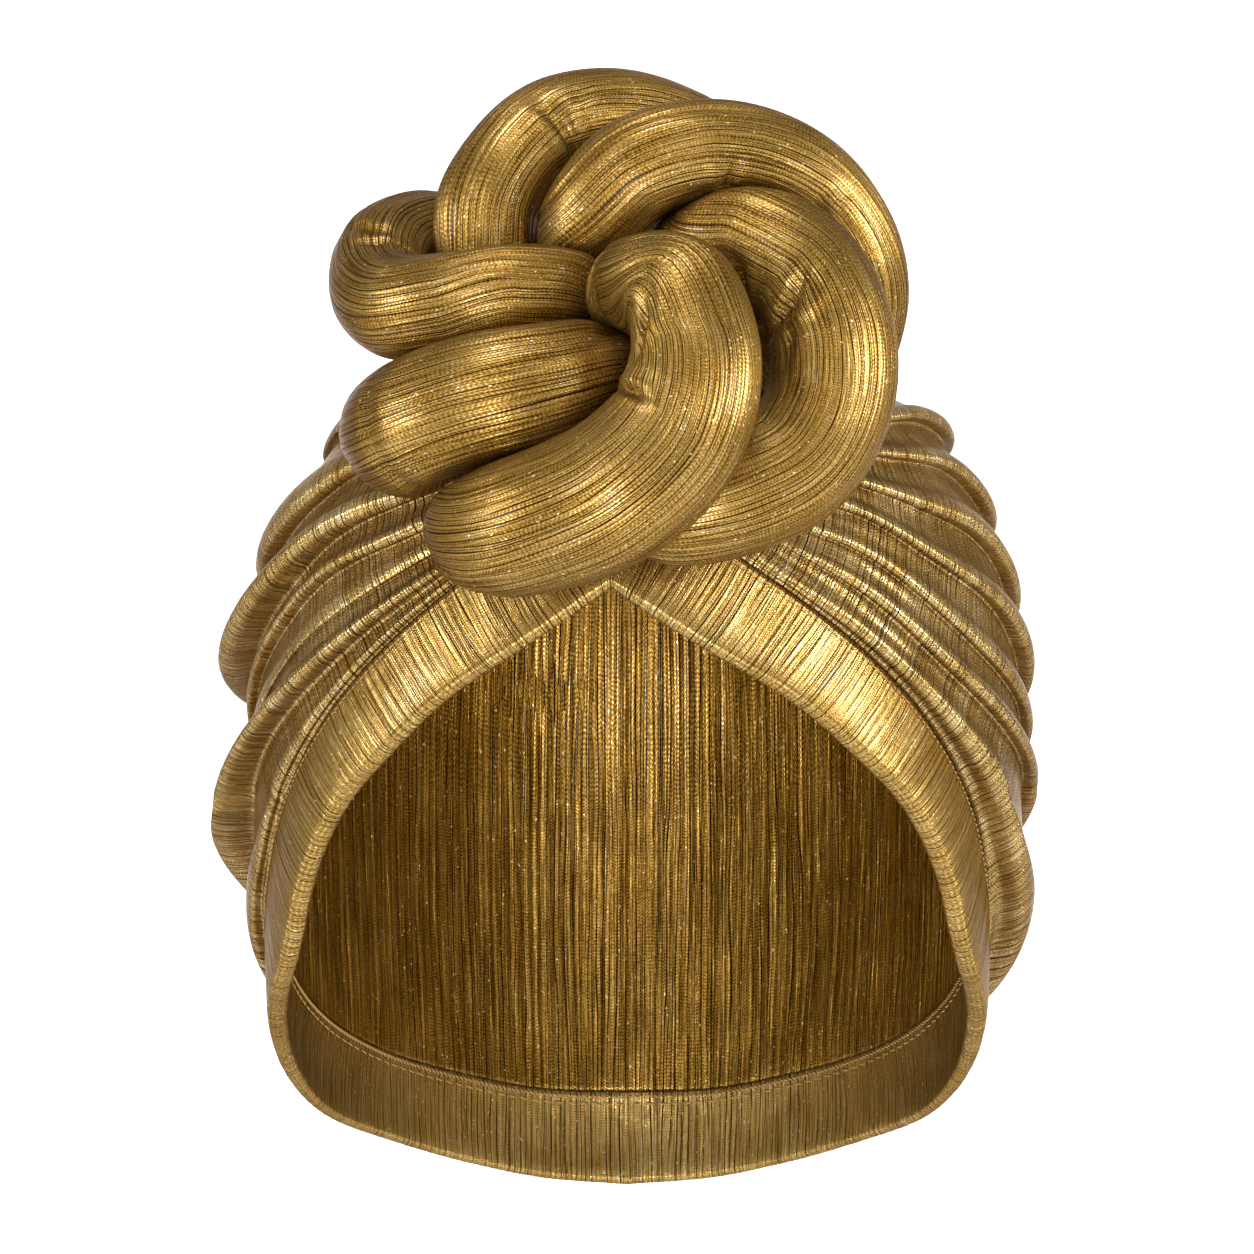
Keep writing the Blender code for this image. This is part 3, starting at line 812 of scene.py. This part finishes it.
def tuck_depth(name, at, turn, radius):
    """Sum of troughs, depth * exp(-(a/length)^2 - (b/width)^2), each with its side ridge."""
    depth = np.zeros((len(at), len(turn)))
    for share, degrees, half_length, half_width, deep, slant in TUCKS[name]:
        ds = (at - share * at[-1])[:, None]
        dt = np.angle(np.exp(1j * (turn - np.radians(degrees))))[None, :] * radius[:, None]
        c = math.cos(math.radians(slant))
        s = math.sin(math.radians(slant))
        a = (ds * c + dt * s) / half_length
        b = (dt * c - ds * s) / half_width
        depth += deep * np.exp(-a ** 2) * (np.exp(-b ** 2) - 0.35 * np.exp(-(b - 2.2) ** 2 / 2))
    return depth


def roll_piece(name, line, seed):
    """Roll of cloth: hub + spoke * (free reach + pleats + unevenness - tucks)."""
    at, centre, radius, forward, _ = roll_axis(line, ROLL_SPACING)
    outward, side = roll_frame(centre, forward)
    turn = np.arange(ROLL_SIDES) / ROLL_SIDES * 2 * np.pi
    spoke = outward[:, None] * np.cos(turn)[:, None] + side[:, None] * np.sin(turn)[:, None]
    reach = read_off(soften(free_reach(name, line), 1), len(at), ROLL_SIDES)
    mean_radius = float(np.median(radius))
    total = 2 * np.pi * mean_radius
    across = turn * mean_radius
    sway = SWAY[0] * soft_noise(at / SWAY[1], 0 * at, seed + 1)
    ridge = pleats(across[None, :] + sway[:, None], ROLL_PLEAT, total, seed)
    sag = SAG[0] * soft_noise(at[:, None] / SAG[1], turn[None, :] * 10 / np.pi, seed + 2)
    swell = SWELL[0] * soft_noise(at[:, None] / SWELL[1], turn[None, :] * 4 / np.pi, seed + 3)
    open_cloth = ease((reach / radius[:, None] - 0.72) / 0.2)
    calm = ease(np.minimum(at, at[-1] - at) / 8)[:, None] * open_cloth
    tucks = tuck_depth(name, at, turn, radius)
    reach = reach + calm * (ROLL_PLEAT_HEIGHT * (ridge - 0.6) + sag + swell - 0.5 - tucks)
    grid = centre[:, None] + spoke * np.maximum(reach, 0.1)[..., None]
    u = np.concatenate([across, [total]])
    uv = np.stack(np.broadcast_arrays(u[None, :], at[:, None]), axis=-1)
    return cloth_object(name + "_cloth", grid, uv,
                        first_tip=centre[0] - forward[0] * radius[0] * ROLL_TIP,
                        last_tip=centre[-1] + forward[-1] * radius[-1] * ROLL_TIP)


rolls = [place(roll_piece(name, line, 100 + 10 * i), name)
         for i, (name, line) in enumerate(KNOT.items())]
rolls.append(place(roll_piece("knot_core", KNOT_CORE, 170)))

# %% [markdown]
# Three lines of stitching show. Round the back, short slanting stitches bind the inner edge
# of the hem and a row of longer ones holds it down. Small stitches also sit in the seam
# between the band and the crown. A stitch is a short capsule that bows away from the cloth,
# and all the stitches of a line are one mesh.

# %% Stitches
EAR_AZIMUTH = 50
INSIDE = -BAND_CLOTH - 0.3
# spacing, half length, radius of the thread; share of the band's width, lift off the cap,
# slant, first azimuth, side of the cloth it lies on (-1 inside), how far it bows off it
STITCHES = {
    "binding_stitches": (1.25, 0.85, 0.27, 1.03, INSIDE, 35, EAR_AZIMUTH, -1, 0.3),
    "hem_stitches": (3.1, 1.2, 0.24, 0.94, INSIDE, 7, EAR_AZIMUTH, -1, 0.3),
    "seam_stitches": (1.9, 0.62, 0.16, 0.93, 0.4, 0, 0, 1, 0.2),
}
STITCH_STATIONS = 6
STITCH_SIDES = 6


def stitch_line(name, centres, along, out, half_length, radius, bow):
    """Capsules: centre + along * L t + out * bow (1 - t^2), ring radius r sqrt(1 - t^2)."""
    side = np.cross(along, out)
    t = np.sin(np.linspace(-1, 1, STITCH_STATIONS) * np.pi / 2 * 0.9)
    a = np.arange(STITCH_SIDES) / STITCH_SIDES * 2 * np.pi
    girth = radius * np.sqrt(1 - t ** 2)
    spine = (centres[:, None] + along[:, None] * (half_length * t)[:, None]
             + out[:, None] * (bow * (1 - t ** 2))[:, None])
    rings = (spine[:, :, None]
             + (out[:, None] * np.cos(a)[:, None])[:, None] * girth[:, None, None]
             + (side[:, None] * np.sin(a)[:, None])[:, None] * girth[:, None, None])
    count = len(centres)
    each = STITCH_STATIONS * STITCH_SIDES
    k, s, j = np.meshgrid(np.arange(count), np.arange(STITCH_STATIONS - 1),
                          np.arange(STITCH_SIDES), indexing="ij")
    start = k * each + s * STITCH_SIDES
    after = (j + 1) % STITCH_SIDES
    quads = np.stack([start + j, start + after, start + STITCH_SIDES + after,
                      start + STITCH_SIDES + j], axis=-1)
    ends = np.arange(count)[:, None] * each
    first = ends + np.arange(STITCH_SIDES)[::-1]
    last = ends + each - STITCH_SIDES + np.arange(STITCH_SIDES)
    corners = np.concatenate([quads.ravel(), first.ravel(), last.ravel()])
    sizes = np.concatenate([np.full(quads[..., 0].size, 4), np.full(2 * count, STITCH_SIDES)])
    print("%s: %d stitches" % (name, count))
    return place(mesh_object(name, rings.reshape(-1, 3), corners, sizes))


def stitch_row(name):
    """Row of stitches along the band, each turned by the slant from the way along it."""
    spacing, half_length, thread, share, lift, slant, first, side, bow = STITCHES[name]
    fine = column_table(4800)
    line, normal = strip_point(fine, share, lift)
    length = closed_length(line)
    at = np.arange(0, length[-1] - spacing, spacing) + spacing / 2
    i = np.searchsorted(length, at, side="right") - 1
    i = i[np.abs(fine[i, 0]) > first]
    forward = unit(line[(i + 8) % len(line)] - line[i - 8])
    out = normal[i]
    across = np.cross(out, forward)
    along = unit(forward * math.cos(math.radians(slant)) + across * math.sin(math.radians(slant)))
    return stitch_line(name, line[i], along, side * out, half_length, thread, bow)


stitches = [stitch_row(name) for name in STITCHES]

# %% [markdown]
# The cloth is a knit with a flat gold thread, set in pleats by heat. Its look has four
# parts, from large to small: pleats go from brown in the creases, which is painted shade,
# to gold on the crests, fine lines run along each pleat where the threads lie, short ticks
# across them are the rows of the knit, and pale specks are painted glints, where single
# loops of metal thread would catch the light. All of it comes from the UV map, which is in
# centimetres of cloth.

# %% Nodes and colours
def linear(code):
    """Linear RGBA of an sRGB colour code such as #A07030."""
    parts = [int(code[i:i + 2], 16) / 255 for i in (1, 3, 5)]
    return [p / 12.92 if p <= 0.04045 else ((p + 0.055) / 1.055) ** 2.4 for p in parts] + [1]


def add(tree, kind, *inputs, output=0, **settings):
    """Output of a new node, from its settings and its inputs in order (None skips one)."""
    node = tree.nodes.new("ShaderNode" + kind)
    for key, value in settings.items():
        setattr(node, key, value)
    for socket, value in zip(node.inputs, inputs):
        if isinstance(value, bpy.types.NodeSocket):
            tree.links.new(value, socket)
        elif value is not None:
            socket.default_value = value
    return node.outputs[output]


# %% [markdown]
# Each crease is the border between two cells of a one-dimensional Voronoi pattern, which
# gives lines at uneven distances. A slow noise bends them, and another lets each one fade
# out and start again. Coarse creases and fine ones are the same pattern at two scales.

# %% Gold plisse cloth
# bumps per cm across the pleats, bumps per cm along them, detail
CLOTH_NOISES = {
    "wander": (0.9, 0.14, 2),
    "strong": (4.0, 0.35, 2),
    "lines": (22.0, 0.5, 2),
    "ticks": (16.0, 12.0, 1),
    "patch": (0.8, 0.6, 3),
}
GOLDS = ((0.0, "#331E02"), (0.25, "#734F10"), (0.5, "#AC863C"), (0.75, "#D6BC80"),
         (1.0, "#FAF0D6"))
# darker, browner golds for the inside cap: the same cloth in painted shade
SHADED_INSIDE_GOLDS = ((0.0, "#2C1A02"), (0.25, "#64430A"), (0.5, "#9E7528"), (0.75, "#D2AC5E"),
               (1.0, "#F2DEA8"))
# pale specks painted into the colour as glints of light
GLINTS_PER_CM = (34.0, 24.0)
GLINT_COLOUR = "#FFF0C4"
CREASE_MM = 0.16
# period in pleats, and the noise at which a crease starts to show and shows in full
CREASES = ((1.0, 0.38, 0.52), (0.43, 0.44, 0.62))
KNIT_ROW_MM = 0.7


def plisse(name, golds, pleat_mm, crease_depth, contrast=1.0, seed=0, middle=0.55):
    """Metallic knit in pleats: coarse and fine creases in painted shade + lines + knit ticks +
    painted glints.
    """
    material = bpy.data.materials.new(name)
    material.use_nodes = True
    tree = material.node_tree
    shader = tree.nodes["Principled BSDF"]
    shader.inputs["Metallic"].default_value = 0.8
    # at a low angle the threads shade each other, so the edges stay brown
    shader.inputs["Specular Tint"].default_value = linear("#6A4818")
    # the metal film of the yarn is sealed with a thin clear lacquer
    shader.inputs["Coat Weight"].default_value = 0.12
    shader.inputs["Coat Roughness"].default_value = 0.2
    cloth = add(tree, "UVMap", uv_map="cloth")
    noise = {}
    for k, (kind, (across, along, detail)) in enumerate(CLOTH_NOISES.items()):
        stretched = add(tree, "VectorMath", cloth, (across, along, 1.0), (0, 0, seed + 5.0 * k),
                        operation="MULTIPLY_ADD")
        noise[kind] = add(tree, "TexNoise", stretched, None, 1.0, detail, 0.6)

    # creases at two scales: 1 in the crease, 0 on the flat; they paint shade and sink the relief
    u = add(tree, "SeparateXYZ", cloth)
    bent = add(tree, "Math", noise["wander"], 0.5, u, operation="MULTIPLY_ADD")
    creases = []
    for share, low, high in CREASES:
        period = pleat_mm * share
        cells = add(tree, "TexVoronoi", None, add(tree, "Math", bent, 1 / (period * CM_PER_MM),
                                                  operation="MULTIPLY"), 1.0,
                    voronoi_dimensions="1D", feature="DISTANCE_TO_EDGE")
        line = add(tree, "MapRange", cells, 0.0, CREASE_MM / period, 1.0, 0.0,
                   interpolation_type="SMOOTHSTEP")
        shown = add(tree, "MapRange", noise["strong"], low, high, 0.25, 1.0)
        creases.append(add(tree, "Math", line, shown, operation="MULTIPLY"))
    coarse, fine = creases

    # the real rows of the knit are 0.35 mm apart, too fine for the picture: drawn at 0.7 mm
    v = add(tree, "SeparateXYZ", cloth, output=1)
    phase = add(tree, "Math", noise["lines"], 25.0, operation="MULTIPLY")
    turn = add(tree, "Math", v, 2 * math.pi / (KNIT_ROW_MM * CM_PER_MM), phase,
               operation="MULTIPLY_ADD")
    knit = add(tree, "Math", add(tree, "Math", turn, operation="SINE"), 0.5, 0.5,
               operation="MULTIPLY_ADD")

    # tone, from creases at 0 to the brightest threads at 1, with the flat cloth at middle;
    # the dark creases are painted shade
    tone = middle - 0.5 * contrast * (0.55 + 0.2 + 0.3 + 0.2)
    for value, share in ((noise["lines"], 0.55), (knit, 0.2), (noise["ticks"], 0.3),
                         (noise["patch"], 0.2), (coarse, -0.45), (fine, -0.22)):
        tone = add(tree, "Math", value, share * contrast, tone, operation="MULTIPLY_ADD")
    ramp = add(tree, "ValToRGB", tone).node
    for _ in golds[2:]:
        ramp.color_ramp.elements.new(0.5)
    for element, (position, code) in zip(ramp.color_ramp.elements, golds):
        element.position = position
        element.color = linear(code)

    # painted glints: pale specks where single loops of metal thread would catch the light
    across, along = GLINTS_PER_CM
    loops = add(tree, "VectorMath", cloth, (across, along, 1.0), (0, 0, seed + 0.5),
                operation="MULTIPLY_ADD")
    loops = add(tree, "TexVoronoi", loops, None, 1.0, output="Color")
    painted_glint = add(tree, "MapRange", add(tree, "SeparateXYZ", loops), 0.993, 0.998, 0.0, 1.0)
    # the Mix node's colours are its inputs 6 and 7
    colour = add(tree, "Mix", painted_glint, *[None] * 5, ramp.outputs[0], linear(GLINT_COLOUR),
                 output=2, data_type="RGBA")
    tree.links.new(colour, shader.inputs["Base Color"])
    rough = add(tree, "MapRange", tone, 0.1, 0.8, 0.44, 0.25)
    tree.links.new(rough, shader.inputs["Roughness"])

    # relief in millimetres
    height = add(tree, "Math", coarse, -crease_depth, operation="MULTIPLY")
    for value, depth in ((fine, -0.4 * crease_depth), (noise["lines"], 0.10), (knit, 0.02),
                         (noise["ticks"], 0.05), (noise["patch"], 0.6), (painted_glint, 0.05)):
        height = add(tree, "Math", value, depth, height, operation="MULTIPLY_ADD")
    bump = add(tree, "Bump").node
    bump.inputs["Distance"].default_value = MM
    tree.links.new(height, bump.inputs["Height"])
    tree.links.new(bump.outputs[0], shader.inputs["Normal"])
    return material


def sewing_thread():
    """Plain gold sewing thread: twisted and dyed, not metallised, so duller than the cloth."""
    material = bpy.data.materials.new("gold_sewing_thread")
    material.use_nodes = True
    shader = material.node_tree.nodes["Principled BSDF"]
    shader.inputs["Base Color"].default_value = linear("#C09A5A")
    shader.inputs["Metallic"].default_value = 0.35
    shader.inputs["Roughness"].default_value = 0.5
    return material


# one cloth, toned per piece: crown lighter as painted light, rolls and inside darker as painted
# shade
finishes = (
    ((crown,), plisse("gold_plisse_crown", GOLDS, 2.0, 0.36, 1.9, middle=0.6)),
    (rolls, plisse("gold_plisse_rolls", GOLDS, 1.5, 0.27, 1.45, seed=31, middle=0.48)),
    ((band,), plisse("gold_plisse_band", GOLDS, 1.7, 0.25, 1.35, seed=47)),
    ((inner_cap,), plisse("gold_plisse_inside", SHADED_INSIDE_GOLDS, 2.4, 0.4, 1.7, seed=71, middle=0.44)),
    (stitches, sewing_thread()),
)
for wearers, finish in finishes:
    for wearer in wearers:
        wearer.data.materials.append(finish)
print("finishes:", ", ".join(finish.name for _, finish in finishes))

# %% [markdown]
# The crown, the inner cap and the band are sheets of cloth. Half the surface of a thin
# closed shell is its cloth, so the area is measured on the mesh.

# %% Sheets of cloth
# the way from rim to rim over the head, along each cloth, and what is left of it when cut
CROWN_LENGTH = 0.62
CAP_LENGTH = 0.56
SHARE_USED = 0.8


def cloth_area(obj):
    """Square metres of cloth: half the area of the closed shell, modifiers included."""
    shown = obj.evaluated_get(bpy.context.evaluated_depsgraph_get())
    mesh = shown.to_mesh()
    areas = np.empty(len(mesh.polygons))
    mesh.polygons.foreach_get("area", areas)
    shown.to_mesh_clear()
    return float(areas.sum()) / 2


for piece, length, used, held, below in (
        (crown, CROWN_LENGTH, SHARE_USED, "gathered", ["inner_cap"]),
        (inner_cap, CAP_LENGTH, SHARE_USED, "stretched", ["face_band_cloth"]),
        (band, rim_length * MM, 1.0, "stretched", ["inner_cap"])):
    area = cloth_area(piece)

# %% [markdown]
# The photograph was taken from straight ahead with a long lens, at the height of the hat's
# middle. The hat hangs as on a head, so the floor lies well below it, and a backdrop rises
# far behind in one sweep, so that the hat can be seen from the back too. Everything round
# the hat is white, as in a product studio.

# %% Studio
VIEW_DISTANCE = 1.5
VIEW_WIDTH = 0.2967
VIEW_HEIGHT = -0.069
FLOOR_Z = -0.45
WALL_Y = 2.6
WALL_HEIGHT = 3.5
BACKDROP_BEND = 0.5
BACKDROP_FRONT = -3.0
BACKDROP_SIDE = 3.5


def backdrop_piece():
    """Floor and wall in one sheet: a flat run, a quarter circle, a straight rise."""
    arc = np.radians(np.linspace(0, 90, 25))
    bend_y = WALL_Y - BACKDROP_BEND * (1 - np.sin(arc))
    y = np.concatenate([[BACKDROP_FRONT], bend_y, [WALL_Y]])
    z = np.concatenate([[0.0], BACKDROP_BEND * (1 - np.cos(arc)), [WALL_HEIGHT]]) + FLOOR_Z
    x = np.array([-BACKDROP_SIDE, BACKDROP_SIDE])
    points = np.stack([np.repeat(x, len(y)), np.tile(y, 2), np.tile(z, 2)], axis=1) / MM
    i = np.arange(len(y) - 1)
    quads = np.stack([i, i + len(y), i + len(y) + 1, i + 1], axis=1)
    return mesh_object("backdrop", points, quads.ravel(), np.full(len(quads), 4))


backdrop = backdrop_piece()
# matt white paper from a studio roll
paper = bpy.data.materials.new("white_paper")
paper.use_nodes = True
sheet = paper.node_tree.nodes["Principled BSDF"]
sheet.inputs["Base Color"].default_value = (0.9, 0.9, 0.9, 1)
sheet.inputs["Roughness"].default_value = 0.9
backdrop.data.materials.append(paper)

camera = bpy.data.objects.new("camera", bpy.data.cameras.new("camera"))
bpy.context.scene.collection.objects.link(camera)
camera.location = (0, -VIEW_DISTANCE, VIEW_HEIGHT)
camera.rotation_euler = (math.pi / 2, 0, 0)
camera.data.angle = 2 * math.atan(VIEW_WIDTH / 2 / VIEW_DISTANCE)
bpy.context.scene.camera = camera

# place, what it looks at, size and watts of each softbox
SOFTBOXES = (
    ("key_softbox", (-0.75, -1.2, 0.65), (0, 0, -0.05), 0.3, 3.9),
    ("fill_softbox", (1.05, -1.05, 0.45), (0, 0, -0.08), 0.35, 5),
    ("front_softbox", (0.0, -1.9, -0.15), (0, 0, -0.12), 0.4, 1.7),
    ("low_softbox", (0.0, -1.2, -0.38), (0, 0.08, -0.17), 0.3, 6.8),
    ("top_softbox", (-0.1, -0.35, 1.1), (0, 0, -0.08), 0.5, 6.8),
    ("side_softbox_left", (-1.5, -0.45, 0.2), (0, 0, -0.1), 0.5, 11),
    ("side_softbox_right", (1.5, -0.3, 0.25), (0, 0, -0.1), 0.5, 16),
    ("wall_softbox_left", (-1.0, WALL_Y - 1.0, 0.0), (-0.35, WALL_Y, 0.0), 0.8, 18),
    ("wall_softbox_right", (1.0, WALL_Y - 1.0, 0.0), (0.35, WALL_Y, 0.0), 0.8, 18),
)
for name, spot, aim, size, watts in SOFTBOXES:
    lamp = bpy.data.lights.new(name, "AREA")
    lamp.energy = watts
    lamp.size = size
    holder = bpy.data.objects.new(name, lamp)
    holder.location = spot
    direction = mathutils.Vector(aim) - holder.location
    holder.rotation_euler = direction.to_track_quat("-Z", "Y").to_euler()
    bpy.context.scene.collection.objects.link(holder)

world = bpy.data.worlds.new("studio_light")
world.use_nodes = True
room = world.node_tree.nodes["Background"]
room.inputs["Color"].default_value = (1, 1, 1, 1)
room.inputs["Strength"].default_value = 0.27
bpy.context.scene.world = world
bpy.context.scene.view_settings.view_transform = "Standard"
